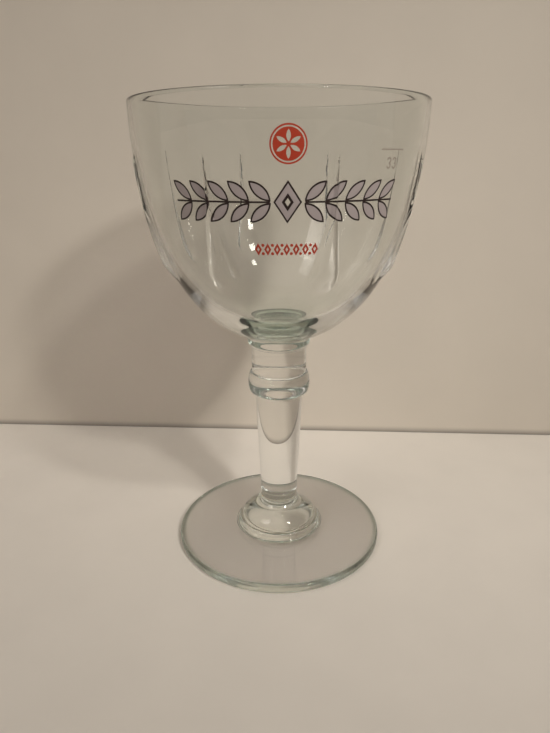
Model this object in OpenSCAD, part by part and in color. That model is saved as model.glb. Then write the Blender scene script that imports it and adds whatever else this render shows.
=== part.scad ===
// Chalice beer glass: a ribbed bowl, a solid stem with a ring, and a flat foot.
// The origin is the centre of the foot's underside, +Z runs up the axis, and the print faces -Y.

/* [Foot] */
// Diameter of the foot
foot_d = 87.4; // [80:0.2:96]
// Height of the foot's middle, where the stem stands
foot_middle_h = 5; // [4.5:0.1:6.5]
// Height of the foot at its edge
foot_edge_h = 3.6; // [3:0.1:4.2]
// Width of the flat ring that the foot stands on
rest_w = 7; // [4:0.5:10]
// How far the underside rises inside that ring
foot_hollow = 0.9; // [0.4:0.1:1.3]

/* [Stem] */
// Diameter of the round ring at the base of the bell-shaped button
button_d = 35.2; // [32:0.2:38]
// Height of the button
button_h = 14.5; // [12.5:0.5:17]
// Diameter of the button's dome above that ring
dome_d = 31.8; // [29:0.2:34]
// Diameter of the dome's shoulder, where it turns out again to the stem
shoulder_d = 19.2; // [18:0.2:21]
// Diameter of the tapered stem at the button
stem_low_d = 15.4; // [13:0.2:17]
// Diameter of the tapered stem under the ring
stem_top_d = 19.4; // [17.6:0.2:21]
// Length of the tapered stem
stem_h = 45.7; // [36:0.1:56]
// Diameter of the ring
ring_d = 25.2; // [23.4:0.2:28]
// Height of the ring
ring_h = 10.4; // [8:0.2:12]
// Diameter of the short neck above the ring
neck_d = 22.2; // [20.6:0.2:22.8]
// Length of the short neck
neck_h = 10.4; // [7:0.1:13]
// Diameter of the collar that carries the bowl
collar_d = 25.6; // [24.4:0.2:28]
// Height of the collar
collar_h = 4.5; // [3.6:0.1:6]

/* [Bowl] */
// Height of the bowl, from the collar to the rim
bowl_h = 85.5; // [78:0.5:94]
// Diameter of the bowl at the rim
rim_d = 105.4; // [98:0.2:112]
// How far the bowl's round underside reaches out before it turns up
belly_reach = 32; // [27:0.2:35]
// How far the underside has risen by then
belly_rise = 11.5; // [9:0.1:14]
// Length over which the wall turns upright below the rim
rim_turn = 28.4; // [22:0.2:34]
// Thickness of the rim
rim_t = 1.5; // [1.2:0.1:2]
// Thickness of the glass in the middle of the bowl's floor
floor_t = 4; // [3.6:0.1:5.4]
// How far the floor of the hollow reaches out before it turns up
hollow_reach = 41.4; // [38:0.2:42.4]
// Length over which the inside of the wall turns upright
hollow_turn = 28.4; // [26:0.2:31]

/* [Ribs] */
// Number of raised ribs round the bowl
rib_count = 8; // [6:1:10]
// Angle from the middle of the print to the first rib
rib_turn = 16.7; // [0:0.1:45]
// How far the ribs' pointed tips lie below the rim
rib_tip_drop = 17.4; // [14:0.2:22]
// Length of a rib, from its tip down to its round end
rib_l = 45.6; // [39:0.2:50]
// Width of a rib at its widest
rib_w = 10; // [8:0.2:13]
// How far a rib's crest stands out of the bowl
rib_h = 1.9; // [1.2:0.1:2.4]

/* [Print] */
// Thickness of the fired enamel
enamel_t = 0.15; // [0.1:0.01:0.3]
// How far the middle of the leaf band lies below the rim
band_drop = 31.2; // [29:0.2:34]
// Length of one leaf of the band
leaf_l = 8.6; // [7:0.1:9]
// Width of one leaf of the band
leaf_w = 3.5; // [2.6:0.1:3.8]
// Number of leaf pairs on each side of the band's middle
leaf_pairs = 5; // [3:1:5]
// Angle round the bowl from one leaf pair to the next
leaf_step = 7.3; // [7:0.1:8]
// Height of the lozenge in the band's middle
lozenge_h = 12.4; // [10:0.2:14]
// Width of that lozenge
lozenge_w = 8.4; // [7:0.2:9]
// Width of the dark line round each shape of the band
outline_w = 0.5; // [0.3:0.05:0.7]
// How far the middle of the red roundel lies below the rim
roundel_drop = 15.3; // [11:0.1:17]
// Diameter of the red roundel
roundel_d = 10.8; // [9:0.2:12]
// How far the middle of the small red row lies below the rim
row_drop = 45.4; // [42:0.2:48]
// Height of the shapes in the small red row
row_h = 3.9; // [3:0.1:4.6]
// Number of lozenges in the small red row
row_count = 7; // [5:1:8]
// Angle round the bowl from one lozenge of the row to the next
row_step = 3.6; // [3.4:0.1:4.2]
// How far the fill line lies below the rim: the bowl holds 33 cl up to it
fill_drop = 16.6; // [13:0.2:20]
// Length of the fill line
fill_l = 10.4; // [8:0.2:12]
// Width of the fill line
fill_w = 0.45; // [0.3:0.05:0.7]
// Angle round the bowl from the print's middle to the middle of the fill line
fill_turn = 38.6; // [34:0.2:46]
// Height of the figures below the fill line
figure_h = 3.4; // [2.6:0.1:4]

/* [Hidden] */
$fn = 96;

// Heights where one piece stands on the next
button_z = foot_middle_h + button_h;
ring_z = button_z + stem_h;
neck_z = ring_z + ring_h;
collar_z = neck_z + neck_h;
bowl_z = collar_z + collar_h;
rim_z = bowl_z + bowl_h;
rim_r = rim_d / 2;
collar_r = collar_d / 2;

// Heights of the ribs' tips and of the print
rib_tip_z = rim_z - rib_tip_drop;
band_z = rim_z - band_drop;
roundel_z = rim_z - roundel_drop;
row_z = rim_z - row_drop;
fill_z = rim_z - fill_drop;

// Steps along each curve
curve_steps = 26;
bead_steps = 10;
lip_steps = 6;
rib_steps = 14;

// Share of the foot's edge height that its rounding takes, on top and below
edge_round_share = 0.42;
edge_foot_share = 0.25;
// Share of the foot's hollow radius where the underside levels out
hollow_flat_share = 0.25;
// Shares of the button's height where its dome starts and where its shoulder lies
dome_low_share = 0.19;
shoulder_share = 0.7;
// Share of the dome's height that its upper handle reaches, and shares of the flare for its two handles
dome_turn_share = 0.68;
flare_out_share = 0.26;
flare_up_share = 0.28;
// Share of the ring's height where it is widest
ring_middle_share = 0.52;
// Shares of the collar's width and height that its curve's handles reach
collar_low_share = 0.35;
collar_out_share = 0.94;
collar_up_share = 0.27;
// Share of the rib's length, from the tip, where it is widest and stands out most
rib_belly_share = 0.82;
// Shares of the rib's width and height that its pointed upper end starts with, and the powers it grows by
rib_point_share = 0.07;
rib_ridge_share = 0.4;
rib_point_power = 1.9;
rib_crest_power = 2;
// Share of the rib's height by which it is sunk into the wall, so that its sides run out cleanly
rib_sink_share = 0.45;

// A point of the cubic curve through a and d with handles b and c
function cubic(a, b, c, d, t) =
    pow(1 - t, 3) * a + 3 * pow(1 - t, 2) * t * b + 3 * (1 - t) * t * t * c + pow(t, 3) * d;
function curve(a, b, c, d, steps) = [for (i = [0:steps]) cubic(a, b, c, d, i / steps)];
// A list of points backwards
function reversed(list) = [for (i = [len(list) - 1:-1:0]) list[i]];
// Points of an arc with these two radii, across and up, from one angle to another
function arc(centre, radii, from, to, steps) =
    [for (i = [0:steps])
        let (turn = from + (to - from) * i / steps)
        centre + [radii[0] * cos(turn), radii[1] * sin(turn)]];
// Radius of a list of outline points at a height, between the two points next to it
function radius_at(points, z, i = 0) =
    i >= len(points) - 2 || points[i + 1][1] >= z
        ? let (rise = points[i + 1] - points[i])
            points[i][0] + rise[0] * (z - points[i][1]) / rise[1]
        : radius_at(points, z, i + 1);

// Outside of the bowl from the collar up to the round of the lip
lip_r = rim_t / 2;
lip_z = rim_z - lip_r;
bowl_outside = curve([collar_r, bowl_z], [collar_r + belly_reach, bowl_z + belly_rise],
    [rim_r, lip_z - rim_turn], [rim_r, lip_z], curve_steps);
// Inside of the bowl from the middle of its floor up to the lip
bowl_inside = curve([0, bowl_z + floor_t], [hollow_reach, bowl_z + floor_t],
    [rim_r - rim_t, lip_z - hollow_turn], [rim_r - rim_t, lip_z], curve_steps);

// Width of the thin skirt where the button is fused to the foot, and of the flat that shows round it
skirt_w = 1;
seat_land = 0.4;
// Radius of the round ring above the skirt, and the angle over which it shows
base_ring_r = 1.6;
base_ring_turn = 75;

// Height from which the enamel's shell is made, and the radius inside the wall from which shapes are cut
print_low_z = row_z - 2 * row_h;
print_start_r = radius_at(bowl_outside, row_z - row_h / 2) - rib_w / 4;
// Angle round the bowl to the first leaf pair, the slant of a leaf, and its height off the band's middle
leaf_start = 9.4;
leaf_slant = 42;
leaf_rise = leaf_l * sin(leaf_slant) / 2 + outline_w / 2;
// Length of the twig on each side of the lozenge
twig_l = rim_r * sin(leaf_step * leaf_pairs);
// Shares of the lozenge that its pale part, its opening and the bead in the opening take
lozenge_fill_share = 0.86;
lozenge_open_share = 0.42;
lozenge_bead_share = 0.2;
// Width of the roundel's ring and of the gap inside it
roundel_line = roundel_d / 24;
// Number of petals, and the share of the roundel's radius of their place, length and width
petal_count = 6;
petal_place_share = 0.42;
petal_l_share = 0.62;
petal_w_share = 0.24;
// Shares of the row's height: a lozenge's width, its opening, a dot's radius and a dot's place
row_w_share = 0.54;
row_open_share = 0.4;
dot_share = 0.12;
dot_rise_share = 0.34;
// Shares of a figure's height: its stroke, and half the step between two figures
figure_stroke_share = 0.14;
figure_step_share = 0.36;

// Greys and greens of the glass, and the enamel colours
glass = [0.82, 0.87, 0.84, 0.55];
pale_grey = [0.69, 0.64, 0.61];
dark_brown = [0.13, 0.07, 0.07];
brick_red = [0.66, 0.16, 0.08];
faint_grey = [0.62, 0.58, 0.53];

// Half width and height of a rib at a share of its length from the tip: a drop with a pointed top
function rib_end(s) = sqrt(max(0, 1 - pow((s - rib_belly_share) / (1 - rib_belly_share), 2)));
function rib_swell(s) = s < rib_belly_share
    ? rib_point_share + (1 - rib_point_share) * pow(s / rib_belly_share, rib_point_power)
    : rib_end(s);
function rib_crest(s) = s < rib_belly_share
    ? rib_ridge_share + (1 - rib_ridge_share) * pow(s / rib_belly_share, rib_crest_power)
    : rib_end(s);

// The three corners of a rib's section, with the crest first, looking out along +X
rib_sink = rib_h * rib_sink_share;
function rib_section(s) =
    let (z = rib_tip_z - s * rib_l)
    let (r = radius_at(bowl_outside, z))
    let (crest = rib_h * rib_crest(s))
    let (half = rib_w / 2 * rib_swell(s))
    let (spread = half * (crest + rib_sink) / crest)
    let (turn = spread / r * 180 / PI)
    let (sunk = r - rib_sink)
    [[r + crest, 0, z], [sunk * cos(turn), -sunk * sin(turn), z], [sunk * cos(turn), sunk * sin(turn), z]];

// One rib on the +X side of the bowl
module rib() {
    shares = [for (i = [1:rib_steps - 1]) i / rib_steps];
    sections = [for (s = shares) rib_section(s)];
    count = len(sections);
    tip = [[radius_at(bowl_outside, rib_tip_z) - rib_sink, 0, rib_tip_z]];
    end_z = rib_tip_z - rib_l;
    end = [[radius_at(bowl_outside, end_z) - rib_sink, 0, end_z]];
    points = concat([for (section = sections) each section], tip, end);
    sides = [for (i = [0:count - 2]) for (k = [0:2])
        let (a = 3 * i + k)
        let (b = 3 * i + (k + 1) % 3)
        each [[a, b + 3, b], [a, a + 3, b + 3]]];
    tip_faces = [for (k = [0:2]) [k, (k + 1) % 3, 3 * count]];
    end_faces = [for (k = [0:2]) [3 * (count - 1) + (k + 1) % 3, 3 * (count - 1) + k, 3 * count + 1]];
    polyhedron(points = points, faces = concat(sides, tip_faces, end_faces));
}

module ribs() {
    for (i = [0:rib_count - 1])
        rotate([0, 0, rib_turn - 90 + i * 360 / rib_count])
            rib();
}

// The bowl with its round lip and its ribs
module bowl() {
    lip = arc([rim_r - lip_r, lip_z], [lip_r, lip_r], 0, 180, lip_steps);
    outline = concat([[0, bowl_z]], bowl_outside, lip, reversed(bowl_inside));
    color(glass)
        union() {
            rotate_extrude()
                polygon(outline);
            ribs();
        }
}

// The solid stem: button, taper, ring, neck and collar in one piece
module stem() {
    button_r = button_d / 2;
    dome_r = dome_d / 2;
    shoulder_r = shoulder_d / 2;
    low_r = stem_low_d / 2;
    top_r = stem_top_d / 2;
    neck_r = neck_d / 2;
    dome_z = foot_middle_h + button_h * dome_low_share;
    shoulder_z = foot_middle_h + button_h * shoulder_share;
    dome_h = shoulder_z - dome_z;
    flare_h = button_z - shoulder_z;
    middle_z = ring_z + ring_h * ring_middle_share;
    skirt = arc([button_r + skirt_w, foot_middle_h + skirt_w], [skirt_w, skirt_w], 270, 180, lip_steps);
    base_ring = arc([button_r - base_ring_r, dome_z - base_ring_r * sin(base_ring_turn)],
        [base_ring_r, base_ring_r], 0, base_ring_turn, lip_steps);
    dome = curve([dome_r, dome_z], [dome_r, dome_z + dome_h / 2],
        [(shoulder_r + dome_r) / 2, dome_z + dome_h * dome_turn_share],
        [shoulder_r, shoulder_z], bead_steps);
    flare = curve([shoulder_r, shoulder_z],
        [low_r + (shoulder_r - low_r) * flare_out_share, shoulder_z + flare_h * flare_up_share],
        [low_r, shoulder_z + 2 * flare_h * flare_up_share], [low_r, button_z], lip_steps);
    ring_low = arc([top_r, middle_z], [ring_d / 2 - top_r, middle_z - ring_z], -90, 0, bead_steps);
    ring_top = arc([neck_r, middle_z], [ring_d / 2 - neck_r, neck_z - middle_z], 0, 90, bead_steps);
    collar_w = collar_r - neck_r;
    collar = curve([neck_r, collar_z], [neck_r + collar_w * collar_low_share, collar_z],
        [neck_r + collar_w * collar_out_share, collar_z + collar_h * collar_up_share],
        [collar_r, bowl_z], lip_steps);
    color(glass)
        rotate_extrude()
            polygon(concat([[0, foot_middle_h]], skirt, base_ring, dome, flare, ring_low, ring_top,
                collar, [[0, bowl_z]]));
}

// The flat foot, which stands on a ring round its hollow underside
module foot() {
    foot_r = foot_d / 2;
    top_round = foot_edge_h * edge_round_share;
    low_round = foot_edge_h * edge_foot_share;
    rest_r = foot_r - low_round - rest_w;
    seat_r = button_d / 2 + skirt_w + seat_land;
    underside = curve([0, foot_hollow], [rest_r * hollow_flat_share, foot_hollow],
        [rest_r * (1 - hollow_flat_share), 0], [rest_r, 0], bead_steps);
    low_edge = arc([foot_r - low_round, low_round], [low_round, low_round], 270, 360, lip_steps);
    top_edge = arc([foot_r - top_round, foot_edge_h - top_round], [top_round, top_round],
        0, 90, lip_steps);
    top = [[seat_r, foot_middle_h], [0, foot_middle_h]];
    color(glass)
        rotate_extrude()
            polygon(concat(underside, low_edge, top_edge, top));
}

// Thin shell of enamel on the outside of the bowl, over the heights that the print takes
module enamel_shell() {
    wall = [for (point = bowl_outside) if (point[1] > print_low_z) point];
    rotate_extrude()
        polygon(concat(wall, reversed([for (point = wall) point + [enamel_t, 0]])));
}

// Flat shapes, set at a height and an angle round the bowl, facing out
module on_bowl(turn, z) {
    rotate([0, 0, turn])
        translate([0, -print_start_r, z])
            rotate([90, 0, 0])
                linear_extrude(height = rim_r - print_start_r + enamel_t)
                    children();
}

// Enamel in the children's shapes, which stops at the ribs
module enamel() {
    difference() {
        intersection() {
            enamel_shell();
            union() children();
        }
        ribs();
    }
}

// Pointed leaf along X, drawn in by an inset on both sides
module leaf(l, w, inset = 0) {
    r = (l * l + w * w) / (4 * w);
    intersection() {
        translate([0, r - w / 2])
            circle(r - inset);
        translate([0, w / 2 - r])
            circle(r - inset);
    }
}

// Lozenge with its points up and down
module lozenge(w, h) {
    polygon([[w / 2, 0], [0, h / 2], [-w / 2, 0], [0, -h / 2]]);
}

// The children's shape at the place and slant of every leaf
module each_leaf() {
    for (side = [-1, 1], row = [-1, 1], i = [0:leaf_pairs - 1])
        on_bowl(side * (leaf_start + i * leaf_step), band_z + row * leaf_rise)
            rotate(side * row * leaf_slant)
                children();
}

// Frame between two shares of the band's lozenge
module lozenge_frame(outer_share, inner_share) {
    difference() {
        lozenge(lozenge_w * outer_share, lozenge_h * outer_share);
        lozenge(lozenge_w * inner_share, lozenge_h * inner_share);
    }
}

// Pale fill of the leaves and the lozenge
module band_fill_print() {
    color(pale_grey)
        enamel() {
            each_leaf()
                leaf(leaf_l, leaf_w, outline_w);
            on_bowl(0, band_z)
                lozenge_frame(lozenge_fill_share, lozenge_open_share);
        }
}

// Dark lines round the leaves and the lozenge, and the twig between the leaves
module band_outline_print() {
    color(dark_brown)
        enamel() {
            each_leaf()
                difference() {
                    leaf(leaf_l, leaf_w);
                    leaf(leaf_l, leaf_w, outline_w);
                }
            on_bowl(0, band_z)
                lozenge_frame(1, lozenge_fill_share);
            on_bowl(0, band_z)
                lozenge_frame(lozenge_open_share, lozenge_bead_share);
            for (side = [-1, 1])
                on_bowl(side * (leaf_start + (leaf_pairs - 1) * leaf_step / 2), band_z)
                    square([twig_l, outline_w], center = true);
        }
}

// Red roundel: a ring round a disc with an open flower
module roundel_print() {
    r = roundel_d / 2;
    color(brick_red)
        enamel()
            on_bowl(0, roundel_z) {
                difference() {
                    circle(r);
                    circle(r - roundel_line);
                }
                difference() {
                    circle(r - 2 * roundel_line);
                    for (i = [0:petal_count - 1])
                        rotate(i * 360 / petal_count)
                            translate([r * petal_place_share, 0])
                                leaf(r * petal_l_share, r * petal_w_share);
                }
            }
}

// Small red row of lozenges with two dots between neighbours
module row_print() {
    color(brick_red)
        enamel() {
            for (i = [0:row_count - 1])
                on_bowl((i - (row_count - 1) / 2) * row_step, row_z)
                    difference() {
                        lozenge(row_h * row_w_share, row_h);
                        lozenge(row_h * row_w_share * row_open_share, row_h * row_open_share);
                    }
            for (i = [1:row_count - 1], side = [-1, 1])
                on_bowl((i - row_count / 2) * row_step, row_z + side * row_h * dot_rise_share)
                    circle(row_h * dot_share);
        }
}

// Fill line with the volume in centilitres below it
module capacity_print() {
    figure_z = fill_z - fill_w - figure_h;
    color(faint_grey)
        enamel() {
            on_bowl(fill_turn, fill_z)
                square([fill_l, fill_w], center = true);
            on_bowl(fill_turn, figure_z)
                for (side = [-1, 1])
                    translate([side * figure_h * figure_step_share, 0])
                        figure_three(figure_h);
        }
}

// The figure 3, made of two open rings
module figure_three(h) {
    stroke = h * figure_stroke_share;
    r = (h + stroke) / 4;
    for (side = [-1, 1])
        translate([0, side * (r - stroke / 2)])
            difference() {
                circle(r);
                circle(r - stroke);
                translate([-r, side > 0 ? -r : 0])
                    square(r);
            }
}

bowl();
stem();
foot();
band_fill_print();
band_outline_print();
roundel_print();
row_print();
capacity_print();
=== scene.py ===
# %% [markdown]
# # A chalice beer glass, turned and fused in Blender
#
# The real glass is three pressed or blown pieces of clear soda-lime glass, a bowl, a stem and a foot, fused
# while hot, with enamel ornament fired on the bowl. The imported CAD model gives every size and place. This
# lesson builds the same pieces again with much finer curves, because glass shows each facet as a bent
# reflection, and it ends with a table, a wall, soft light and a camera.

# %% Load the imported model
import math
from bisect import bisect_left
from functools import cache

import bmesh
import bpy
from mathutils import Matrix, Vector


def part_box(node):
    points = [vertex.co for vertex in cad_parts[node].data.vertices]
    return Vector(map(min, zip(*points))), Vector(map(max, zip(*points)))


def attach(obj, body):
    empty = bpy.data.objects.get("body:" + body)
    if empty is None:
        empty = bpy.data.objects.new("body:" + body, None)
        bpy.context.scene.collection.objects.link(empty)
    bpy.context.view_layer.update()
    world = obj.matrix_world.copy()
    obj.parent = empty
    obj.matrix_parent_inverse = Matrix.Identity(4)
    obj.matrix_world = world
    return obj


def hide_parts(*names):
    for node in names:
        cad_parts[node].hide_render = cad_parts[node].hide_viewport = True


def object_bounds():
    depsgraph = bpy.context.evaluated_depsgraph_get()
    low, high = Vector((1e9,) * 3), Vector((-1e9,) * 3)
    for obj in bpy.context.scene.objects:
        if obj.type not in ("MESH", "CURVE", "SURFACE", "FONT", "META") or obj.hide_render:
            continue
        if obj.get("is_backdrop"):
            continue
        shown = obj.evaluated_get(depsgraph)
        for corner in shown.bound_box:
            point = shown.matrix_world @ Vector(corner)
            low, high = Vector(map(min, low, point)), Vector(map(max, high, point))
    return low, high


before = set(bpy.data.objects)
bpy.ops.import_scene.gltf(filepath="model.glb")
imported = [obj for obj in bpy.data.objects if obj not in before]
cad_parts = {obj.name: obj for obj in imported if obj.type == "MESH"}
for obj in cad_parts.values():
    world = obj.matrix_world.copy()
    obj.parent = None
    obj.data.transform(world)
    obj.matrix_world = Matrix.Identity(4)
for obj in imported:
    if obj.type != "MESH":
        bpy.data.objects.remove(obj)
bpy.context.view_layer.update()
print("CAD nodes:", ", ".join(sorted(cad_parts)))

# %% [markdown]
# ## Outlines in millimetres
#
# A turned piece is one outline swept round the axis. Each outline could be read off the CAD mesh, but its
# short straight steps would come along. So the same named sizes and the same smooth curves are written here
# once more, beside a print of the CAD boxes that they have to meet.

# %% Sizes of the three glass pieces
MM = 0.001
FOOT_R = 43.7
FOOT_MIDDLE = 5.0
FOOT_EDGE = 3.6
FOOT_HOLLOW = 0.9
REST_W = 7.0
BUTTON_R = 17.6
BUTTON_TOP = 19.5
RING_LOW = 65.2
NECK_LOW = 75.6
COLLAR_LOW = 86.0
BOWL_LOW = 90.5
RIM_TOP = 176.0
COLLAR_R = 12.8
RIM_R = 52.7
RIM_T = 1.5
LIP_R = RIM_T / 2
LIP_Z = RIM_TOP - LIP_R
for node in ("foot", "stem", "bowl"):
    low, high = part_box(node)
    heights = f"{low.z / MM:.2f} to {high.z / MM:.2f} mm"
    print(node, "from", heights, "with a radius of", round(high.x / MM, 2), "mm")


# %% Curves and arcs as lists of outline points
def curve(a, b, c, d, steps):
    """Points of the cubic curve from a to d with the handles b and c, each point (radius, height)."""
    a, b, c, d = (Vector(p) for p in (a, b, c, d))
    shares = [i / steps for i in range(steps + 1)]
    return [(1 - t) ** 3 * a + 3 * (1 - t) ** 2 * t * b + 3 * (1 - t) * t * t * c + t**3 * d for t in shares]


def arc(centre, radius, start, end, steps, height=None):
    """Points of an arc between two angles in degrees, or of an oval one that is so high instead."""
    angles = [math.radians(start + (end - start) * i / steps) for i in range(steps + 1)]
    height = radius if height is None else height
    return [Vector(centre) + Vector((radius * math.cos(t), height * math.sin(t))) for t in angles]


quarter = arc((0, 0), 1.0, 0, 90, 8)
print("a quarter arc ends at", [round(v, 3) for v in quarter[-1]])

# %% [markdown]
# ## The wall of the bowl
#
# The bowl's outside is one long curve from the stem to the rim, and its inside another, so the wall is thick
# at the floor and 1.5 mm at the lip. The far side of the rim, seen through the near wall, stands higher in
# the photograph than walls like that would show it. A wall that thickens a little just below its lip would
# explain that, because a slim wedge bends the view like a prism. That is a guess, and its amount is small:
# the inside moves inwards by up to 0.7 mm, more than in the CAD model, and this fades out lower down.

# %% Outline of the bowl
JOINT_GAP = 0.005
FLOOR_T = 4.0
OUTER_REACH, OUTER_RISE = 32.0, 11.5
INNER_REACH = 41.4
RIM_REACH = 28.4
WEDGE, WEDGE_REACH = 0.7, 14.0
FADE_LOW, FADE_H = 115.0, 40.0


def wedge(z):
    """How much the wall has thickened inwards at a height, below the drawn-out lip."""
    fade = min(max((z - FADE_LOW) / FADE_H, 0), 1)
    grown = 1 - math.exp((z - LIP_Z) / WEDGE_REACH)
    return WEDGE * grown * fade * fade * (3 - 2 * fade)


bowl_base, hollow_low, hollow_r = BOWL_LOW + JOINT_GAP, BOWL_LOW + FLOOR_T, RIM_R - RIM_T
outer_handles = (COLLAR_R + OUTER_REACH, BOWL_LOW + OUTER_RISE), (RIM_R, LIP_Z - RIM_REACH)
inner_handles = (INNER_REACH, hollow_low), (hollow_r, LIP_Z - RIM_REACH)
bowl_outside = curve((COLLAR_R, bowl_base), *outer_handles, (RIM_R, LIP_Z), 116)
smooth_inside = curve((0, hollow_low), *inner_handles, (hollow_r, LIP_Z), 56)
bowl_inside = [Vector((point.x - wedge(point.y), point.y)) for point in smooth_inside]
bowl_heights = [point.y for point in bowl_outside]
print("bowl outside:", len(bowl_outside), "points, inside:", len(bowl_inside), "points")


# %% The bowl's radius at any height
def radius_at(z):
    """Radius of the bowl's outside at a height, without its ribs."""
    i = min(max(bisect_left(bowl_heights, z), 1), len(bowl_outside) - 1)
    low, high = bowl_outside[i - 1], bowl_outside[i]
    return low.x + (high.x - low.x) * (z - low.y) / (high.y - low.y)


print("radius at 140 mm:", round(radius_at(140), 2), "mm")

# %% [markdown]
# ## Turning an outline
#
# A lathe shape is quickest with the spin operator: one line of edges, swept a full turn and merged where it
# meets itself. Points on the axis fall together at the poles, so doubles are merged there. The last faces
# may point inwards, so the normals are worked out again before the mesh is kept.

# %% The lathe
TURN_STEPS = 480
SHARP = math.radians(38)


def turned(outline, start=0.0, steps=TURN_STEPS):
    """A bmesh in millimetres, made by turning an outline of (radius, height) points round the axis."""
    bm = bmesh.new()
    line = [bm.verts.new((p[0] * math.cos(start), p[0] * math.sin(start), p[1])) for p in outline]
    edges = [bm.edges.new(pair) for pair in zip(line, line[1:])]
    bmesh.ops.spin(
        bm,
        geom=line + edges,
        axis=(0, 0, 1),
        cent=(0, 0, 0),
        angle=math.tau,
        steps=steps,
        use_merge=True,
    )
    bmesh.ops.remove_doubles(bm, verts=bm.verts, dist=0.002)
    bmesh.ops.recalc_face_normals(bm, faces=bm.faces)
    return bm


def kept(bm, name, *materials):
    """Writes the bmesh in metres as an object at the origin, smooth all over, with these materials."""
    bmesh.ops.scale(bm, vec=(MM, MM, MM), verts=bm.verts)
    mesh = bpy.data.meshes.new(name)
    for face in bm.faces:
        face.smooth = True
    bm.to_mesh(mesh)
    bm.free()
    mesh.set_sharp_from_angle(angle=SHARP)
    for material in materials:
        mesh.materials.append(material)
    piece = bpy.data.objects.new(name, mesh)
    bpy.context.scene.collection.objects.link(piece)
    print(name, "has", len(mesh.polygons), "faces")
    return piece


print("lathe:", TURN_STEPS, "steps, sharp from", round(math.degrees(SHARP)), "degrees")

# %% [markdown]
# ## Clear glass with a faint green body
#
# Soda-lime glass is colourless in a thin wall and grey-green where one looks through a lot of it, as in the
# foot's edge. A volume absorption would give that by itself, but light that crosses the fused faces between
# the pieces would count it twice. So the surface carries the tint: almost white where the glass is thin, and
# greener by a mask where it is thick. A real fire-polished face also waves very slightly, and handling
# leaves faint films on it: one node group gives both to all the glass.

# %% A node group for the skin of the glass
def new_group(name, inputs, outputs):
    """A shader node group with float inputs, given as (name, value), and outputs, given as (name, type)."""
    group = bpy.data.node_groups.new(name, "ShaderNodeTree")
    for label, value in inputs:
        socket = group.interface.new_socket(label, in_out="INPUT", socket_type="NodeSocketFloat")
        socket.default_value = value
    for label, kind in outputs:
        group.interface.new_socket(label, in_out="OUTPUT", socket_type=kind)
    return group, group.nodes.new("NodeGroupInput"), group.nodes.new("NodeGroupOutput")


def add_node(tree, kind, **values):
    """A node of that kind with its inputs or properties set by name."""
    node = tree.nodes.new(kind)
    for label, value in values.items():
        if label in node.inputs:
            node.inputs[label].default_value = value
        else:
            setattr(node, label, value)
    return node


def map_range(tree, ends=(0.0, 1.0), results=(0.0, 1.0), smooth=False):
    """A node that maps one pair of values to another, in a straight or a smooth line."""
    node = tree.nodes.new("ShaderNodeMapRange")
    node.interpolation_type = "SMOOTHSTEP" if smooth else "LINEAR"
    for label, value in zip(("From Min", "From Max", "To Min", "To Max"), (*ends, *results)):
        node.inputs[label].default_value = value
    return node


def add_group(tree, group, values):
    """A node group placed in a material, with its own values by name."""
    node = tree.nodes.new("ShaderNodeGroup")
    node.node_tree = group
    for label, value in values.items():
        node.inputs[label].default_value = value
    return node


def new_material(name):
    """A new material, its node tree and its Principled shader."""
    material = bpy.data.materials.new(name)
    material.use_nodes = True
    return material, material.node_tree, material.node_tree.nodes["Principled BSDF"]


skin_group, skin_in, skin_out = new_group(
    "glass_skin",
    [("Wave Size", 60.0), ("Wave Height", 0.1), ("Film", 0.02)],
    [("Roughness", "NodeSocketFloat"), ("Normal", "NodeSocketVector")],
)
place = add_node(skin_group, "ShaderNodeTexCoord")
waves = add_node(skin_group, "ShaderNodeTexNoise", Detail=1.0, Roughness=0.4)
film = add_node(skin_group, "ShaderNodeTexNoise", Scale=140.0, Detail=4.0, Roughness=0.6)
film_range = map_range(skin_group, (0.55, 0.8))
bump = add_node(skin_group, "ShaderNodeBump", Distance=0.0002)
link = skin_group.links.new
link(place.outputs["Object"], waves.inputs["Vector"])
link(place.outputs["Object"], film.inputs["Vector"])
link(skin_in.outputs["Wave Size"], waves.inputs["Scale"])
link(skin_in.outputs["Wave Height"], bump.inputs["Strength"])
link(waves.outputs["Fac"], bump.inputs["Height"])
link(film.outputs["Fac"], film_range.inputs["Value"])
link(skin_in.outputs["Film"], film_range.inputs["To Max"])
link(film_range.outputs["Result"], skin_out.inputs["Roughness"])
link(bump.outputs["Normal"], skin_out.inputs["Normal"])
print("glass skin group:", len(skin_group.nodes), "nodes")

# %% A node group for where the glass is thick
thick_group, thick_in, thick_out = new_group(
    "glass_thickness",
    [("Edge Start", 0.04), ("Edge End", 0.044), ("Low End", 0.0), ("High End", 0.0001)],
    [("Mask", "NodeSocketFloat")],
)
place = add_node(thick_group, "ShaderNodeTexCoord")
split = add_node(thick_group, "ShaderNodeSeparateXYZ")
across = add_node(thick_group, "ShaderNodeCombineXYZ")
distance = add_node(thick_group, "ShaderNodeVectorMath", operation="LENGTH")
edge = map_range(thick_group)
height = map_range(thick_group, results=(1.0, 0.0))
larger = add_node(thick_group, "ShaderNodeMath", operation="MAXIMUM")
link = thick_group.links.new
link(place.outputs["Object"], split.inputs["Vector"])
link(split.outputs["X"], across.inputs["X"])
link(split.outputs["Y"], across.inputs["Y"])
link(across.outputs["Vector"], distance.inputs[0])
link(distance.outputs["Value"], edge.inputs["Value"])
link(thick_in.outputs["Edge Start"], edge.inputs["From Min"])
link(thick_in.outputs["Edge End"], edge.inputs["From Max"])
link(split.outputs["Z"], height.inputs["Value"])
link(thick_in.outputs["Low End"], height.inputs["From Min"])
link(thick_in.outputs["High End"], height.inputs["From Max"])
link(edge.outputs["Result"], larger.inputs[0])
link(height.outputs["Result"], larger.inputs[1])
link(larger.outputs["Value"], thick_out.inputs["Mask"])
print("glass thickness group:", len(thick_group.nodes), "nodes")


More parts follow.
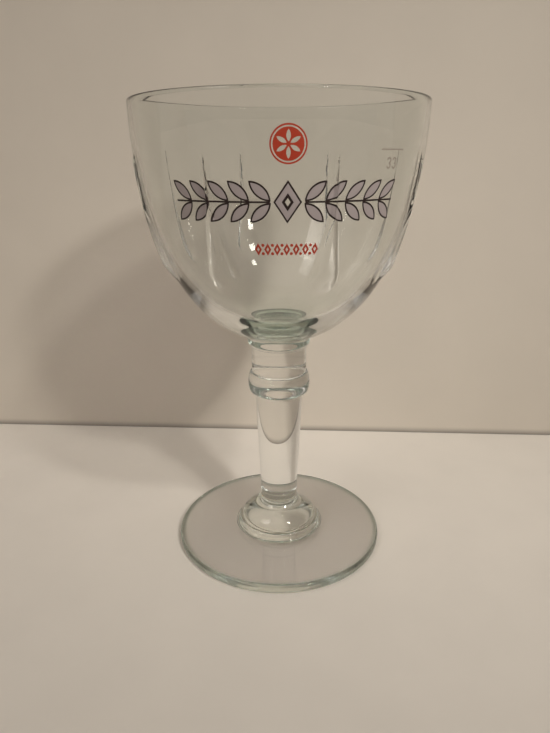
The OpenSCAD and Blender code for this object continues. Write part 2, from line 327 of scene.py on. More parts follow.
# %% Glass materials
def clear_glass(name, thin, thick, mask, wave_height, film):
    """Refracting glass, tinted from thin to thick by a mask of (edge start, edge end, low end, high end)."""
    material, tree, surface = new_material(name)
    surface.inputs["IOR"].default_value = 1.52
    surface.inputs["Transmission Weight"].default_value = 1.0
    surface.inputs["Metallic"].default_value = 0.0
    where = add_group(tree, thick_group, dict(zip(("Edge Start", "Edge End", "Low End", "High End"), mask)))
    tint = add_node(tree, "ShaderNodeMix", data_type="RGBA")
    tint.inputs[6].default_value = (*thin, 1.0)
    tint.inputs[7].default_value = (*thick, 1.0)
    tree.links.new(where.outputs["Mask"], tint.inputs["Factor"])
    tree.links.new(tint.outputs[2], surface.inputs["Base Color"])
    skin = add_group(tree, skin_group, {"Wave Height": wave_height, "Film": film})
    tree.links.new(skin.outputs["Roughness"], surface.inputs["Roughness"])
    tree.links.new(skin.outputs["Normal"], surface.inputs["Normal"])
    return material


def hidden_joint(name, tint):
    """The fused face between two pieces, which light crosses unbent, but tinted by the thick glass there."""
    material, tree, surface = new_material(name)
    tree.nodes.remove(surface)
    clear = add_node(tree, "ShaderNodeBsdfTransparent", Color=(*tint, 1.0))
    tree.links.new(clear.outputs["BSDF"], tree.nodes["Material Output"].inputs["Surface"])
    return material


FAR = 9.0
NO_EDGE, NO_HEIGHT = (FAR, FAR + 1), (-FAR, -FAR + 1)
bowl_glass = clear_glass(
    "fire_polished_bowl_glass",
    thin=(0.925, 0.94, 0.93),
    thick=(0.84, 0.885, 0.855),
    mask=(*NO_EDGE, 0.088, 0.106),
    wave_height=0.06,
    film=0.02,
)
stem_glass = clear_glass(
    "pressed_stem_glass",
    thin=(0.975, 0.985, 0.98),
    thick=(0.9, 0.95, 0.925),
    mask=(*NO_EDGE, 0.0, 0.012),
    wave_height=0.1,
    film=0.03,
)
foot_glass = clear_glass(
    "pressed_foot_glass",
    thin=(0.997, 0.999, 0.998),
    thick=(0.62, 0.7, 0.655),
    mask=(0.041, 0.0432, *NO_HEIGHT),
    wave_height=0.1,
    film=0.03,
)
button_joint = hidden_joint("fused_button_joint", (0.985, 0.99, 0.985))
collar_joint = hidden_joint("fused_collar_joint", (0.73, 0.785, 0.745))
print("glass materials:", bowl_glass.name, stem_glass.name, foot_glass.name)

# %% [markdown]
# ## The foot
#
# The foot is a thin pressed disc, a little higher in the middle, with a round edge and a slightly hollow
# underside, so that it stands on a ring. A cylinder with bevelled edges would come close, but the hollow and
# the gentle slope on top show as soft lines in the glass, so it is turned from its whole outline.

# %% Turn the foot
edge_top = FOOT_EDGE * 0.42
edge_low = FOOT_EDGE * 0.25
rest_r = FOOT_R - edge_low - REST_W
seat_r = BUTTON_R + 1.2
foot_top = FOOT_MIDDLE - JOINT_GAP
foot_outline = (
    curve((0, FOOT_HOLLOW), (rest_r * 0.25, FOOT_HOLLOW), (rest_r * 0.75, 0), (rest_r, 0), 40)
    + arc((FOOT_R - edge_low, edge_low), edge_low, 270, 360, 8)
    + arc((FOOT_R - edge_top, FOOT_EDGE - edge_top), edge_top, 0, 90, 10)
    + [(seat_r + 0.4, foot_top), (seat_r, foot_top), (0, foot_top)]
)


def mark_joints(bm, *joints):
    """Gives the second material to the flat faces at the first (height, radius) joint, and so on."""
    for face in bm.faces:
        centre = face.calc_center_median()
        for index, (height, radius) in enumerate(joints, 1):
            if abs(centre.z - height) < 2 * JOINT_GAP and math.hypot(centre.x, centre.y) < radius:
                face.material_index = index


foot_bm = turned(foot_outline, steps=240)
mark_joints(foot_bm, (FOOT_MIDDLE, seat_r))
foot = kept(foot_bm, "glass_foot", foot_glass, button_joint)
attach(foot, "root")
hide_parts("foot")

# %% [markdown]
# ## The stem
#
# The stem is one pressed piece: a bell-shaped button, a taper that widens upwards, a rounded ring, a
# short neck and the collar under the bowl. It is solid, so it works as a lens, and each hollow and swell
# draws its own bent line. Its outline is a chain of curves, with small rounds where two forms meet, because
# a mould leaves no sharp inner corner.

# %% Turn the stem
DOME_R, DOME_LOW = 15.9, 7.7
SHOULDER_R, SHOULDER_Z = 9.6, 15.2
STEM_LOW_R, STEM_TOP_R = 7.7, 9.7
RING_R, RING_MIDDLE = 12.6, 70.6
NECK_R = 11.1
BASE_ROUND = 1.0
BASE_RING, BASE_RING_LIFT = 1.6, 1.3
COLLAR_FLARE, COLLAR_RISE = 0.6, 1.2


def straight(low, high, steps=20):
    """Points on a straight wall, close to each other at both ends, so that each end keeps its own shading."""
    shares = [0.5 - 0.5 * math.cos(math.pi * i / steps) for i in range(steps + 1)]
    return [Vector(low).lerp(Vector(high), share) for share in shares]


stem_base, stem_top = FOOT_MIDDLE + JOINT_GAP, BOWL_LOW - JOINT_GAP
dome_h, flare_h = SHOULDER_Z - DOME_LOW, BUTTON_TOP - SHOULDER_Z
dome_turn = (SHOULDER_R + (DOME_R - SHOULDER_R) / 2, DOME_LOW + dome_h * 0.68)
dome = curve((DOME_R, DOME_LOW), (DOME_R, DOME_LOW + dome_h / 2), dome_turn, (SHOULDER_R, SHOULDER_Z), 26)
flare_turn = (STEM_LOW_R + (SHOULDER_R - STEM_LOW_R) * 0.26, SHOULDER_Z + flare_h * 0.28)
flare_end = (STEM_LOW_R, SHOULDER_Z + flare_h * 0.56)
flare = curve((SHOULDER_R, SHOULDER_Z), flare_turn, flare_end, (STEM_LOW_R, BUTTON_TOP), 12)
collar_turns = (NECK_R + COLLAR_FLARE, COLLAR_LOW), (COLLAR_R - 0.1, COLLAR_LOW + COLLAR_RISE)
stem_outline = (
    [(0, stem_base)]
    + arc((BUTTON_R + BASE_ROUND, stem_base + BASE_ROUND), BASE_ROUND, 270, 180, 8)
    + arc((BUTTON_R - BASE_RING, stem_base + BASE_RING_LIFT), BASE_RING, 0, 75, 10)
    + dome
    + flare[1:]
    + straight((STEM_LOW_R, BUTTON_TOP), (STEM_TOP_R, RING_LOW), 30)[1:]
    + arc((STEM_TOP_R, RING_MIDDLE), RING_R - STEM_TOP_R, -90, 0, 18, RING_MIDDLE - RING_LOW)[1:]
    + arc((NECK_R, RING_MIDDLE), RING_R - NECK_R, 0, 90, 16, NECK_LOW - RING_MIDDLE)[1:]
    + straight((NECK_R, NECK_LOW), (NECK_R, COLLAR_LOW), 14)[1:]
    + curve((NECK_R, COLLAR_LOW), *collar_turns, (COLLAR_R, stem_top), 14)[1:]
    + [(0, stem_top)]
)
stem_bm = turned(stem_outline, steps=240)
mark_joints(stem_bm, (FOOT_MIDDLE, seat_r), (BOWL_LOW, COLLAR_R))
stem = kept(stem_bm, "glass_stem", stem_glass, button_joint, collar_joint)
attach(stem, "root")
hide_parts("stem")

# %% [markdown]
# ## The bowl and its ribs
#
# The bowl is turned like the rest, with its wall thinning from the floor to the fire-polished lip. Eight
# ribs stand out of it: each starts as a fine point near the print's height, widens downwards and ends in a
# round lump. They could be separate solids joined by a boolean, but a boolean leaves a hard seam in glass
# that was pressed in one. So the outside points of the turned wall are pushed out to the height of the rib,
# after the columns of points have been crowded towards the ribs' crests, where the surface bends most.

# %% Height of a rib at any place
RIB_COUNT = 8
RIB_TURN = math.radians(16.7)
RIB_TIP = 158.6
RIB_L = 45.6
RIB_W = 10.0
RIB_H = 1.9
RIB_BELLY = 0.82
RIB_START_W, RIB_START_H = 0.05, 0.45
RIB_PITCH = math.tau / RIB_COUNT


def rib_shares(share):
    """Half width and crest height of a rib, as shares of the most, at a share of its length from the tip."""
    if share <= 0 or share >= 1:
        return 0.0, 0.0
    if share < RIB_BELLY:
        grown = share / RIB_BELLY
        ridge = math.sin(math.pi / 2 * min(1, grown * 10))
        width = RIB_START_W + (1 - RIB_START_W) * grown**1.9
        return width, RIB_START_H * ridge + (1 - RIB_START_H) * grown**2
    past = (share - RIB_BELLY) / (1 - RIB_BELLY)
    return math.sqrt(1 - past**2), 0.5 + 0.5 * math.cos(math.pi * past)


def off_rib(turn):
    """Angle from the nearest rib's crest."""
    return (turn - RIB_TURN + RIB_PITCH / 2) % RIB_PITCH - RIB_PITCH / 2


def rib_height(turn, z):
    """How far the ribs stand out at an angle from the middle of the print and a height, in millimetres."""
    if not RIB_TIP - RIB_L < z < RIB_TIP:
        return 0.0
    share = (RIB_TIP - z) / RIB_L
    width_share, crest_share = rib_shares(share)
    across = abs(off_rib(turn)) * radius_at(z) / (RIB_W / 2 * width_share)
    if across >= 1:
        return 0.0
    ridge, drop = 1 - across, (1 - across * across) ** 0.8
    roundness = min(1, share / RIB_BELLY) ** 2
    return RIB_H * crest_share * (ridge + (drop - ridge) * roundness)


print("rib at its belly:", round(rib_height(RIB_TURN, RIB_TIP - RIB_BELLY * RIB_L), 2), "mm")

# %% Turn the bowl and raise its ribs
lip = arc((RIM_R - LIP_R, LIP_Z), LIP_R, 0, 180, 8)
bowl_outline = [(0, bowl_base)] + bowl_outside + lip[1:-1] + bowl_inside[::-1]
bowl_bm = turned(bowl_outline, start=RIB_TURN - math.pi / 2)
CROWDING, SKIN_T = 0.62, 0.3
for vert in bowl_bm.verts:
    x, y, z = vert.co
    radius = math.hypot(x, y)
    turn = math.atan2(x, -y)
    off = off_rib(turn)
    turn -= CROWDING * math.sin(math.tau * off / RIB_PITCH) * RIB_PITCH / math.tau
    if radius > radius_at(z) - SKIN_T:
        radius += rib_height(turn, z)
    vert.co = Vector((radius * math.sin(turn), -radius * math.cos(turn), z))
mark_joints(bowl_bm, (BOWL_LOW, COLLAR_R))
bowl = kept(bowl_bm, "glass_bowl", bowl_glass, collar_joint)
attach(bowl, "root")
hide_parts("bowl")

# %% [markdown]
# ## Fired enamel
#
# The ornament is ground coloured glass, printed on and fired, so it is a skin a few hundredths of a
# millimetre thick that follows the bowl and its ribs. A picture on the bowl's own material would be simpler,
# but the print has an edge and hides what is behind it. So each shape is a flat mesh, cut fine, wrapped on
# the bowl and given a thickness.

# %% A node group for fired enamel
enamel_group, enamel_in, enamel_out = new_group(
    "fired_enamel",
    [("Speckle", 0.08), ("Sheen Low", 0.3), ("Sheen High", 0.5)],
    [("Shade", "NodeSocketFloat"), ("Roughness", "NodeSocketFloat"), ("Normal", "NodeSocketVector")],
)
place = add_node(enamel_group, "ShaderNodeTexCoord")
grain = add_node(enamel_group, "ShaderNodeTexNoise", Scale=2600.0, Detail=3.0)
cloud = add_node(enamel_group, "ShaderNodeTexNoise", Scale=180.0, Detail=2.0)
mixed = add_node(enamel_group, "ShaderNodeMath", operation="MULTIPLY_ADD")
shade = map_range(enamel_group, (0.0, 1.6))
sheen = map_range(enamel_group)
low_shade = add_node(enamel_group, "ShaderNodeMath", operation="SUBTRACT")
bump = add_node(enamel_group, "ShaderNodeBump", Strength=0.25, Distance=0.00002)
low_shade.inputs[0].default_value = 1.0
mixed.inputs[1].default_value = 0.6
link = enamel_group.links.new
link(place.outputs["Object"], grain.inputs["Vector"])
link(place.outputs["Object"], cloud.inputs["Vector"])
link(grain.outputs["Fac"], mixed.inputs[0])
link(cloud.outputs["Fac"], mixed.inputs[2])
link(enamel_in.outputs["Speckle"], low_shade.inputs[1])
link(mixed.outputs["Value"], shade.inputs["Value"])
link(low_shade.outputs["Value"], shade.inputs["To Min"])
link(cloud.outputs["Fac"], sheen.inputs["Value"])
link(enamel_in.outputs["Sheen Low"], sheen.inputs["To Min"])
link(enamel_in.outputs["Sheen High"], sheen.inputs["To Max"])
link(grain.outputs["Fac"], bump.inputs["Height"])
link(shade.outputs["Result"], enamel_out.inputs["Shade"])
link(sheen.outputs["Result"], enamel_out.inputs["Roughness"])
link(bump.outputs["Normal"], enamel_out.inputs["Normal"])
print("fired enamel group:", len(enamel_group.nodes), "nodes")


# %% Enamel colours
def enamel(name, colour, speckle=0.12):
    """Opaque glossy enamel of that colour, a little uneven as the ground glass melts."""
    material, tree, surface = new_material(name)
    fired = add_group(tree, enamel_group, {"Speckle": speckle})
    tint = add_node(tree, "ShaderNodeMix", data_type="RGBA", blend_type="MULTIPLY")
    tint.inputs["Factor"].default_value = 1.0
    tint.inputs[6].default_value = (*colour, 1.0)
    tree.links.new(fired.outputs["Shade"], tint.inputs[7])
    tree.links.new(tint.outputs[2], surface.inputs["Base Color"])
    tree.links.new(fired.outputs["Roughness"], surface.inputs["Roughness"])
    tree.links.new(fired.outputs["Normal"], surface.inputs["Normal"])
    return material


pale_grey = enamel("pale_grey_enamel", (0.46, 0.4, 0.4))
dark_brown = enamel("dark_brown_enamel", (0.02, 0.008, 0.008))
brick_red = enamel("brick_red_enamel", (0.5, 0.05, 0.02))
faint_grey = enamel("thin_grey_enamel", (0.38, 0.33, 0.28))
print("enamels:", pale_grey.name, dark_brown.name, brick_red.name, faint_grey.name)

# %% [markdown]
# ## Flat shapes to print
#
# All motifs are drawn flat, in millimetres, with X to the right and Y up, and each is made of small faces,
# so that it bends with the bowl. A grid is the easy start: its points are moved to the wanted outline, so a
# leaf, a lozenge, a ring and a petal are each one grid and one rule.


# %% Grids that become leaves, rings and bars
def grid(bm, columns, rows, rule):
    """A grid over the unit square, each point moved to where rule(across, up) says, in millimetres."""
    made = bmesh.ops.create_grid(bm, x_segments=columns, y_segments=rows, size=0.5)["verts"]
    for vert in made:
        x, y = rule(vert.co.x + 0.5, vert.co.y + 0.5)
        vert.co = Vector((x, y, 0))
    bmesh.ops.remove_doubles(bm, verts=made, dist=0.003)
    return [vert for vert in made if vert.is_valid]


def leaf_half(share, length, width, inset=0.0):
    """Half width of a pointed leaf, of two arcs, at a share of its inset length, and the place there."""
    radius = (length**2 + width**2) / (4 * width)
    drop = radius - width / 2
    reach = math.sqrt((radius - inset) ** 2 - drop**2)
    x = reach * (2 * share - 1)
    return x, math.sqrt(max(0.0, (radius - inset) ** 2 - x * x)) - drop


def leaf(bm, length, width, inset=0.0):
    """A whole leaf along X."""

    def rule(across, up):
        x, half = leaf_half(across, length, width, inset)
        return x, half * (2 * up - 1)

    return grid(bm, 24, 8, rule)


def leaf_line(bm, length, width, line):
    """The line round a leaf: one half above and one below, from point to point."""
    verts = []
    for side in (1, -1):

        def rule(across, up, side=side):
            x_out, out = leaf_half(across, length, width)
            x_in, inner = leaf_half(across, length, width, line)
            return x_out + (x_in - x_out) * up, side * (out + (inner - out) * up)

        verts += grid(bm, 24, 2, rule)
    return verts


def frame_shape(bm, outer, inner, corners, columns=6):
    """A band between two outlines with the same number of corners, such as a lozenge in a lozenge."""
    verts = []
    count = len(corners)
    for k in range(count):
        a, b = Vector(corners[k]), Vector(corners[(k + 1) % count])

        def rule(across, up, a=a, b=b):
            p = a.lerp(b, across)
            return p * (outer + (inner - outer) * up)

        verts += grid(bm, columns, 3, rule)
    return verts


def bar(bm, length, width, columns=60):
    """A straight bar along X."""
    return grid(bm, columns, 2, lambda across, up: (length * (across - 0.5), width * (up - 0.5)))


trial = bmesh.new()
print("a leaf has", len(leaf(trial, 8.0, 3.0)), "points")
trial.free()

# %% Wrapping a shape on the bowl
ENAMEL_LIFT = 0.02
ENAMEL_T = 0.05


def placed(bm, verts, turn_deg, z, slant_deg=0.0):
    """Turns flat points by a slant, and keeps them as (arc length, height) round the print's middle."""
    bmesh.ops.rotate(bm, verts=verts, cent=(0, 0, 0), matrix=Matrix.Rotation(math.radians(slant_deg), 3, "Z"))
    width = math.radians(turn_deg) * radius_at(z)
    for vert in verts:
        turn = (vert.co.x + width) / radius_at(z)
        vert.co = Vector((turn, vert.co.y + z, 0))


def wrapped(bm, name, material):
    """Bends the flat print round the bowl and its ribs, thickens it and keeps it."""
    bmesh.ops.recalc_face_normals(bm, faces=bm.faces)
    for face in bm.faces:
        if face.normal.z < 0:
            face.normal_flip()
    for vert in bm.verts:
        turn, z = vert.co.x, vert.co.y
        r = radius_at(z) + rib_height(turn, z) + ENAMEL_LIFT
        vert.co = Vector((r * math.sin(turn), -r * math.cos(turn), z))
    bmesh.ops.solidify(bm, geom=bm.faces[:], thickness=ENAMEL_T)
    bmesh.ops.recalc_face_normals(bm, faces=bm.faces)
    return kept(bm, name, material)


print("enamel is", ENAMEL_T, "mm thick,", ENAMEL_LIFT, "mm off the glass")

# %% [markdown]
# ## The ornament
#
# The wide band is a pair of leafy twigs on both sides of a lozenge: pale grey shapes with dark brown lines.
# A red roundel with a six-petalled flower stands above it and a small red row below. To the right is the
# fill line with its two plain figures.

# %% The leaf band
BAND_Z = 144.8
LEAF_L, LEAF_W = 8.6, 3.5
LEAF_PAIRS, LEAF_START, LEAF_STEP, LEAF_SLANT = 5, 9.4, 7.3, 42
LINE_W = 0.5
LEAF_RISE = LEAF_L * math.sin(math.radians(LEAF_SLANT)) / 2 + LINE_W / 2
LOZENGE_W, LOZENGE_H = 8.4, 12.4
LOZENGE_LINE, LOZENGE_EYE, LOZENGE_HOLE = 0.86, 0.42, 0.2
leaf_places = [
    (side * (LEAF_START + i * LEAF_STEP), BAND_Z + row * LEAF_RISE, side * row * LEAF_SLANT)
    for side in (-1, 1)
    for row in (-1, 1)
    for i in range(LEAF_PAIRS)
]
lozenge = [(LOZENGE_W / 2, 0), (0, LOZENGE_H / 2), (-LOZENGE_W / 2, 0), (0, -LOZENGE_H / 2)]

fill = bmesh.new()
lines = bmesh.new()
for turn, z, slant in leaf_places:
    placed(fill, leaf(fill, LEAF_L, LEAF_W, LINE_W), turn, z, slant)
    placed(lines, leaf_line(lines, LEAF_L, LEAF_W, LINE_W), turn, z, slant)
placed(fill, frame_shape(fill, LOZENGE_LINE, LOZENGE_EYE, lozenge), 0, BAND_Z)
placed(lines, frame_shape(lines, 1.0, LOZENGE_LINE, lozenge), 0, BAND_Z)
placed(lines, frame_shape(lines, LOZENGE_EYE, LOZENGE_HOLE, lozenge), 0, BAND_Z)
twig_l = RIM_R * math.sin(math.radians(LEAF_STEP * LEAF_PAIRS))
for side in (-1, 1):
    middle = side * (LEAF_START + (LEAF_PAIRS - 1) * LEAF_STEP / 2)
    placed(lines, bar(lines, twig_l, LINE_W), middle, BAND_Z)
band_fill = wrapped(fill, "enamel_band_fill", pale_grey)
band_lines = wrapped(lines, "enamel_band_lines", dark_brown)


# %% The roundel with its flower
def ring(bm, outer, inner, columns=96):
    """A flat ring about the origin."""

    def rule(across, up):
        r = outer + (inner - outer) * up
        return r * math.cos(math.tau * across), r * math.sin(math.tau * across)

    return grid(bm, columns, 2, rule)


ROUNDEL_Z, ROUNDEL_R = 160.7, 5.4
ROUNDEL_LINE = ROUNDEL_R / 12
PETALS = 6
PETAL_MIDDLE = 0.42
PETAL_L, PETAL_W = ROUNDEL_R * 0.62, ROUNDEL_R * 0.24
RAY_STEPS = 240


@cache
def petal_edge(turn):
    """Radii where a ray from the roundel's middle enters and leaves the nearest petal, or None."""
    pitch = math.tau / PETALS
    off = (turn + pitch / 2) % pitch - pitch / 2
    inside = []
    for i in range(RAY_STEPS):
        r = ROUNDEL_R * i / RAY_STEPS
        x, y = r * math.cos(off) - ROUNDEL_R * PETAL_MIDDLE, r * math.sin(off)
        if abs(x) < PETAL_L / 2 and abs(y) < leaf_half(x / PETAL_L + 0.5, PETAL_L, PETAL_W)[1]:
            inside.append(r)
    return (inside[0], inside[-1]) if inside else None


def disc_with_petals(bm, radius):
    """The roundel's disc, open at the petals: an inner part up to each petal and an outer part from it."""
    columns = 240

    def rule_for(outer_part):
        def rule(across, up):
            turn = math.tau * across
            cut = petal_edge(turn) or (radius * PETAL_MIDDLE, radius * PETAL_MIDDLE)
            low, high = (cut[1], radius) if outer_part else (0.0, cut[0])
            r = low + (high - low) * up
            return r * math.cos(turn), r * math.sin(turn)

        return rule

    return grid(bm, columns, 5, rule_for(True)) + grid(bm, columns, 5, rule_for(False))


roundel = bmesh.new()
placed(roundel, ring(roundel, ROUNDEL_R, ROUNDEL_R - ROUNDEL_LINE), 0, ROUNDEL_Z)
placed(roundel, disc_with_petals(roundel, ROUNDEL_R - 2 * ROUNDEL_LINE), 0, ROUNDEL_Z, 90)
roundel_print = wrapped(roundel, "enamel_roundel", brick_red)

# %% The small row
ROW_Z, ROW_H, ROW_COUNT, ROW_STEP = 130.6, 3.9, 7, 3.6
ROW_HALF_W, ROW_HOLE, DOT_R, DOT_RISE = ROW_H * 0.27, 0.4, ROW_H * 0.12, ROW_H * 0.34
row_corners = [(ROW_HALF_W, 0), (0, ROW_H / 2), (-ROW_HALF_W, 0), (0, -ROW_H / 2)]
row = bmesh.new()
for i in range(ROW_COUNT):
    lozenge_turn = (i - (ROW_COUNT - 1) / 2) * ROW_STEP
    placed(row, frame_shape(row, 1.0, ROW_HOLE, row_corners, 4), lozenge_turn, ROW_Z)
for i in range(1, ROW_COUNT):
    for side in (-1, 1):
        dot = ring(row, DOT_R, 0.0, 16)
        placed(row, dot, (i - ROW_COUNT / 2) * ROW_STEP, ROW_Z + side * DOT_RISE)
row_print = wrapped(row, "enamel_row", brick_red)

# %% The fill line and its figures
FILL_TURN, FILL_Z, FILL_L, FILL_W, FIGURE_H = 38.6, 159.4, 10.4, 0.45, 3.4
STROKE = FIGURE_H * 0.14
HOOK_R = (FIGURE_H + STROKE) / 4
FIGURE_SHIFT = FIGURE_H * 0.36


def open_ring(bm, outer, inner, start, end):
    """Part of a ring, from one angle to another in degrees, as for the figure 3."""

    def rule(across, up):
        turn = math.radians(start + (end - start) * across)
        r = outer + (inner - outer) * up
        return r * math.cos(turn), r * math.sin(turn)

    return grid(bm, 30, 2, rule)


capacity = bmesh.new()
placed(capacity, bar(capacity, FILL_L, FILL_W, 40), FILL_TURN, FILL_Z)
figure_z = FILL_Z - FILL_W - FIGURE_H
for side in (-1, 1):
    for half in (-1, 1):
        start, end = (-90, 180) if half > 0 else (-180, 90)
        hook = open_ring(capacity, HOOK_R, HOOK_R - STROKE, start, end)
        lift = half * (HOOK_R - STROKE / 2)
        bmesh.ops.translate(capacity, verts=hook, vec=(side * FIGURE_SHIFT, lift, 0))
        placed(capacity, hook, FILL_TURN, figure_z)
capacity_print = wrapped(capacity, "enamel_fill_line", faint_grey)

# %% Hand the prints to the frame
for piece, node, slot in (
    (band_fill, "band_fill_print", "grey_enamel"),
    (band_lines, "band_outline_print", "brown_enamel"),
    (roundel_print, "roundel_print", "red_enamel"),
    (row_print, "row_print", "red_enamel"),
    (capacity_print, "capacity_print", "mark_enamel"),
):
    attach(piece, "root")
    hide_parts(node)
    print(piece.name, "replaces", node)

# %% [markdown]
# ## Table and wall
#
# Clear glass shows little of itself: what one sees is the table and the wall, bent. So both stand where they
# do in the photograph, with the wall about 10 cm behind the glass. Plain colours would do from afar, but the
# glass enlarges them, so both are slightly mottled by one node group, which also paints shade on the wall
# where it meets the table. To let the glass be seen from behind as well, the wall is clear on its back face.

# %% A node group for mottled paint and a painted shade at a wall's foot
paint_group, paint_in, paint_out = new_group(
    "mottled_paint_and_painted_shade",
    [("Grain", 30.0), ("Painted Foot Shade", 1.0)],
    [("Shade", "NodeSocketFloat")],
)
place = add_node(paint_group, "ShaderNodeTexCoord")
mottle = add_node(paint_group, "ShaderNodeTexNoise", Detail=6.0)
mottle_range = map_range(paint_group, (0.35, 0.65), (0.97, 1.0))
heights = add_node(paint_group, "ShaderNodeSeparateXYZ")
# Painted shade: the colour darkens in the lowest few millimetres, where the wall meets the table.
painted_foot_shade = map_range(paint_group, (-0.0015, 0.0045), smooth=True)
product = add_node(paint_group, "ShaderNodeMath", operation="MULTIPLY")
link = paint_group.links.new
link(place.outputs["Object"], mottle.inputs["Vector"])
link(paint_in.outputs["Grain"], mottle.inputs["Scale"])
link(mottle.outputs["Fac"], mottle_range.inputs["Value"])
link(place.outputs["Object"], heights.inputs["Vector"])
link(heights.outputs["Z"], painted_foot_shade.inputs["Value"])
link(paint_in.outputs["Painted Foot Shade"], painted_foot_shade.inputs["To Min"])
link(mottle_range.outputs["Result"], product.inputs[0])
link(painted_foot_shade.outputs["Result"], product.inputs[1])
link(product.outputs["Value"], paint_out.inputs["Shade"])
print("mottled paint group:", len(paint_group.nodes), "nodes")


# %% Painted surfaces
def painted(name, colour, grain, painted_foot_shade=1.0):
    """Matt paint, slightly mottled, with a painted shade that darkens the foot of a wall where that shade is
    below 1.
    """
    material, tree, surface = new_material(name)
    surface.inputs["Roughness"].default_value = 0.75
    surface.inputs["Specular IOR Level"].default_value = 0.2
    paint = add_group(tree, paint_group, {"Grain": grain, "Painted Foot Shade": painted_foot_shade})
    tint = add_node(tree, "ShaderNodeMix", data_type="RGBA", blend_type="MULTIPLY")
    tint.inputs["Factor"].default_value = 1.0
    tint.inputs[6].default_value = (*colour, 1.0)
    tree.links.new(paint.outputs["Shade"], tint.inputs[7])
    tree.links.new(tint.outputs[2], surface.inputs["Base Color"])
    return material


def clear_from_behind(material):
    """Lets whoever looks at the back of a one-sided sheet see through it."""
    tree = material.node_tree
    side = tree.nodes.new("ShaderNodeNewGeometry")
    clear = tree.nodes.new("ShaderNodeBsdfTransparent")
    choose = tree.nodes.new("ShaderNodeMixShader")
    tree.links.new(side.outputs["Backfacing"], choose.inputs["Fac"])
    tree.links.new(tree.nodes["Principled BSDF"].outputs["BSDF"], choose.inputs[1])
    tree.links.new(clear.outputs["BSDF"], choose.inputs[2])
    tree.links.new(choose.outputs["Shader"], tree.nodes["Material Output"].inputs["Surface"])


def sheet_of(name, size, material, matrix):
    """A flat square sheet of the set, with one face, placed by a matrix."""
    bm = bmesh.new()
    bmesh.ops.create_grid(bm, x_segments=1, y_segments=1, size=size / 2)
    bmesh.ops.transform(bm, matrix=matrix, verts=bm.verts)
    mesh = bpy.data.meshes.new(name)
    bm.to_mesh(mesh)
    bm.free()
    mesh.materials.append(material)
    sheet = bpy.data.objects.new(name, mesh)
    bpy.context.scene.collection.objects.link(sheet)
    sheet.cycles.is_caustics_receiver = True
    sheet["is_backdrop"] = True
    return sheet


# %% Set up the table and the wall
ROOM_TURN = Matrix.Rotation(math.radians(-3.0), 4, "Z")
WALL_TURN = ROOM_TURN @ Matrix.Rotation(math.radians(-2.72), 4, "Z")
WALL_Y = 0.1026
TABLE_SIZE, WALL_SIZE = 8.0, 4.0
TABLE_GAP = 0.00005
table_top = painted("pale_table", (0.74, 0.69, 0.628), 30.0)
# The wall's colour falls to 0.3 at its foot: painted shade where it meets the table.
wall_paint = painted("taupe_wall", (0.64, 0.58, 0.505), 20.0, painted_foot_shade=0.3)
clear_from_behind(wall_paint)
upright = Matrix.Rotation(math.radians(90), 4, "X")
wall_place = WALL_TURN @ Matrix.Translation((0, WALL_Y, WALL_SIZE / 2)) @ upright
sheet_of("table", TABLE_SIZE, table_top, Matrix.Translation((0, 0, -TABLE_GAP)))
sheet_of("wall", WALL_SIZE, wall_paint, wall_place)
print("the wall stands", round(WALL_Y / MM), "mm behind the glass")

# %% [markdown]
# ## Light
#
# The photograph's shadows fall to the left and back, one a little above the other, so two small lamps with
# narrow beams hang high on the right in front. A broad, weak lamp at the left fills the wall, and a dim room
# all round gives the glass something darker to bend, without which its edges would vanish. Shadows under
# glass could be left plain, but the stem is a solid lens, so it alone is set to throw focused light on the
# table. The thin bowl and the flat foot bend light little, and their shadows come out too dark that way.

# %% Lamps
BEAM_SIZE, BEAM_SPREAD = 0.1, 36
BEAM_COLOUR, FILL_COLOUR = (1.0, 0.96, 0.895), (1.0, 0.935, 0.875)


def lamp(name, place, aim, size, spread, power, colour):
    """A square area lamp at a place in metres, facing another place, with its light spread over an angle."""
    data = bpy.data.lights.new(name, "AREA")
    data.size = size
    data.spread = math.radians(spread)
    data.energy = power
    data.color = colour
    data.cycles.is_caustics_light = True
    light = bpy.data.objects.new(name, data)
    light.location = (ROOM_TURN @ Vector((*place, 1))).to_3d()
    target = (ROOM_TURN @ Vector((*aim, 1))).to_3d()
    light.rotation_euler = (target - light.location).to_track_quat("-Z", "Y").to_euler()
    bpy.context.scene.collection.objects.link(light)


lamp("low_lamp", (0.576, -0.816, 0.79), (0.03, 0.1, 0.06), BEAM_SIZE, BEAM_SPREAD, 0.2, BEAM_COLOUR)
lamp("high_lamp", (0.55, -0.64, 1.02), (0.04, 0.11, 0.02), BEAM_SIZE, BEAM_SPREAD, 0.165, BEAM_COLOUR)
lamp("left_lamp", (-0.5, -0.3, 0.6), (-0.14, 0.1, 0.12), 0.4, 50, 0.15, FILL_COLOUR)
stem.cycles.is_caustics_caster = True
print("lamps:", ", ".join(light.name for light in bpy.data.lights))

# %% The room
ROOM_LOW, ROOM_HIGH = (0.2, 0.185, 0.165), (0.66, 0.62, 0.57)
FRONT = (0.0, -0.98, 0.2)
world = bpy.data.worlds.new("room")
bpy.context.scene.world = world
world.use_nodes = True
tree = world.node_tree
sky = tree.nodes["Background"]
place = add_node(tree, "ShaderNodeTexCoord")
split = add_node(tree, "ShaderNodeSeparateXYZ")
ramp = tree.nodes.new("ShaderNodeValToRGB")
ramp.color_ramp.elements[0].position = 0.05
ramp.color_ramp.elements[0].color = (*ROOM_LOW, 1)
ramp.color_ramp.elements[1].position = 0.7
ramp.color_ramp.elements[1].color = (*ROOM_HIGH, 1)
toward = add_node(tree, "ShaderNodeVectorMath", operation="DOT_PRODUCT")
toward.inputs[1].default_value = FRONT
front = map_range(tree, (0.7, 0.93), (1.0, 0.45), smooth=True)
dimmed = add_node(tree, "ShaderNodeMix", data_type="RGBA", blend_type="MULTIPLY")
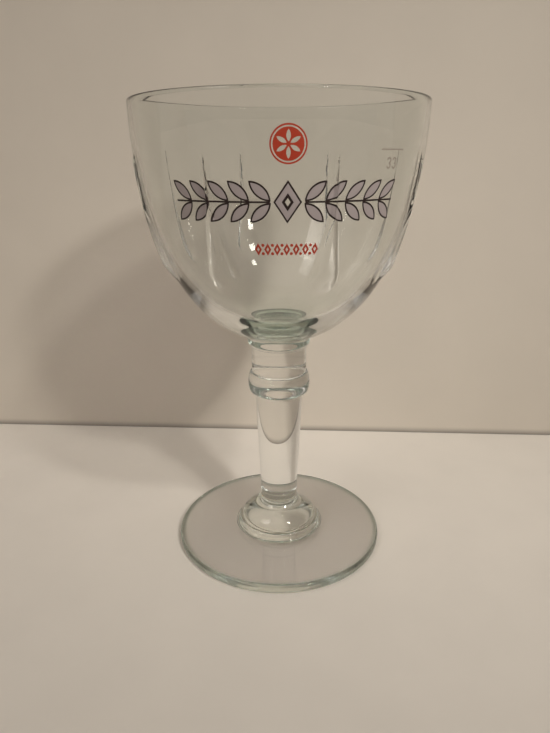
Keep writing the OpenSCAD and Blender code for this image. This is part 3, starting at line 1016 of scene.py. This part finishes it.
dimmed.inputs["Factor"].default_value = 1.0
tree.links.new(place.outputs["Generated"], split.inputs["Vector"])
tree.links.new(split.outputs["Z"], ramp.inputs["Fac"])
tree.links.new(place.outputs["Generated"], toward.inputs[0])
tree.links.new(toward.outputs["Value"], front.inputs["Value"])
tree.links.new(ramp.outputs["Color"], dimmed.inputs[6])
tree.links.new(front.outputs["Result"], dimmed.inputs[7])
tree.links.new(dimmed.outputs[2], sky.inputs["Color"])
sky.inputs["Strength"].default_value = 0.72
print("the room is dimmer behind the camera, towards", FRONT)

# %% [markdown]
# ## Light inside the glass
#
# Light crosses and bounces off dozens of glass faces before it leaves, and each time it is dropped for want
# of bounces leaves a black spot. So the limits are high. Light that is caught inside counts as glossy, and
# after some twenty turns the real glass has soaked it up. A limit of 20 keeps the short dark lines that the
# photograph shows on the ribs' crests.

# %% How often light may cross the glass
cycles = bpy.context.scene.cycles
cycles.max_bounces = 64
cycles.transmission_bounces = 64
cycles.glossy_bounces = 20
cycles.transparent_max_bounces = 32
cycles.sample_clamp_indirect = 20
cycles.blur_glossy = 0.0
print("light may bounce", cycles.max_bounces, "times")

# %% [markdown]
# ## Camera
#
# The camera stands a hand's breadth from the glass, a little below the rim, and looks down at it, so the far
# rim shows through the near one. Its place, tilt and lens come from fitting the rim and the foot as level
# circles to the photograph.

# %% Place the camera
FOCAL_PX, FRAME_H = 593, 733
CAMERA_PLACE = (0, -0.229, 0.1563)
PITCH, ROLL, YAW = math.radians(19.16), math.radians(-0.16), math.radians(0.4)
right = Vector((math.cos(YAW), math.sin(YAW), 0))
level = Vector((-math.sin(YAW), math.cos(YAW), 0))
down = Vector((0, 0, -1))
ahead = math.cos(PITCH) * level + math.sin(PITCH) * down
up = math.sin(PITCH) * level - math.cos(PITCH) * down
right, up = math.cos(ROLL) * right + math.sin(ROLL) * up, math.cos(ROLL) * up - math.sin(ROLL) * right
axes = Matrix((right, up, -ahead)).transposed().to_4x4()
camera_data = bpy.data.cameras.new("camera")
camera_data.sensor_width = 36
camera_data.lens = FOCAL_PX / FRAME_H * camera_data.sensor_width
camera = bpy.data.objects.new("camera", camera_data)
camera.matrix_world = ROOM_TURN @ Matrix.Translation(CAMERA_PLACE) @ axes
camera_data.clip_start = 0.005
bpy.context.scene.collection.objects.link(camera)
bpy.context.scene.camera = camera
bpy.context.scene.view_settings.view_transform = "Standard"
print("lens", round(camera_data.lens, 1), "mm")

# %% Print the visual box and finish
low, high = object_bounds()
print("visual box in mm:", [round(v / MM, 2) for v in (*low, *high)])
